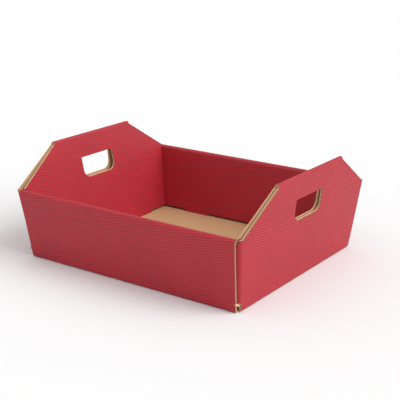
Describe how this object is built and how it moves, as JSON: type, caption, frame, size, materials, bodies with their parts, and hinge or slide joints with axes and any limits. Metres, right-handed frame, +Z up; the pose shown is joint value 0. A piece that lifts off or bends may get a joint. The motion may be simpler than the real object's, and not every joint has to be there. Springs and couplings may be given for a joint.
{
  "type": "cardboard tray box",
  "caption": "Open folded cardboard tray with double rolled walls, raised chamfered ends with hand holes, and a flat base.",
  "frame": {"origin": "middle of the underside of the base", "axes": "+X along the long walls towards one end wall, +Y across to the other long wall, +Z up"},
  "size_m": [0.4312, 0.3698, 0.1715],
  "materials": {
    "printed_board": "matt red print outside, bare kraft inside"
  },
  "bodies": {
    "root": {"tray_box": "printed_board"}
  },
  "joints": []
}
